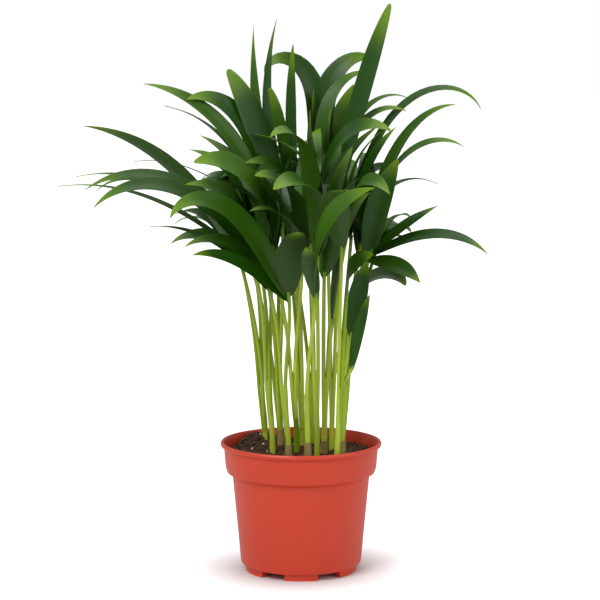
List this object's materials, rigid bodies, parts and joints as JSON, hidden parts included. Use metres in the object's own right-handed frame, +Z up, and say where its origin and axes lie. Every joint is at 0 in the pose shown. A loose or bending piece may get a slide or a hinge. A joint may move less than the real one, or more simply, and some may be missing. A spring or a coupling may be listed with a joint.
{
  "type": "potted areca palm",
  "caption": "Young areca palm with slender green stems and arching feathered fronds in a clay-coloured round nursery pot filled with soil.",
  "frame": {"origin": "middle of the pot's underside, on the surface that the pot stands on", "axes": "+Z up along the pot's axis; the pictured side of the plant faces -Y and +X is to its right"},
  "size_m": [0.3117, 0.2853, 0.4189],
  "materials": {
    "pot": "satin clay-red plastic",
    "soil": "moist dark potting mix",
    "cane": "satin lime-green stem",
    "leaf": "glossy green leaf"
  },
  "bodies": {
    "root": {"cane_01": "cane", "cane_02": "cane", "cane_03": "cane", "cane_04": "cane", "cane_05": "cane", "cane_06": "cane", "cane_07": "cane", "cane_08": "cane", "cane_09": "cane", "cane_10": "cane", "cane_11": "cane", "cane_12": "cane", "cane_13": "cane", "cane_14": "cane", "cane_15": "cane", "frond_centre_front": "leaf", "frond_centre_glossy": "leaf", "frond_centre_pair": "leaf", "frond_front_brown": "leaf", "frond_front_green": "leaf", "frond_front_olive": "leaf", "frond_inner_left": "leaf", "frond_left_arch": "leaf", "frond_left_back": "leaf", "frond_left_broad": "leaf", "frond_left_high": "leaf", "frond_left_reach": "leaf", "frond_low_left": "leaf", "frond_rear_01": "leaf", "frond_rear_02": "leaf", "frond_rear_03": "leaf", "frond_rear_04": "leaf", "frond_rear_05": "leaf", "frond_rear_06": "leaf", "frond_rear_07": "leaf", "frond_rear_08": "leaf", "frond_rear_09": "leaf", "frond_rear_10": "leaf", "frond_right_blade": "leaf", "frond_right_curl": "leaf", "frond_right_front": "leaf", "frond_right_high": "leaf", "frond_right_inner": "leaf", "frond_right_lance": "leaf", "frond_right_low": "leaf", "frond_right_reach": "leaf", "frond_right_sprig": "leaf", "frond_right_sword": "leaf", "frond_tall_strap": "leaf", "frond_top_arch": "leaf", "frond_top_left": "leaf", "frond_top_right_back": "leaf", "frond_top_spike": "leaf", "frond_upper_left": "leaf", "frond_upper_reach": "leaf", "pot": "pot", "soil": "soil"}
  },
  "joints": []
}
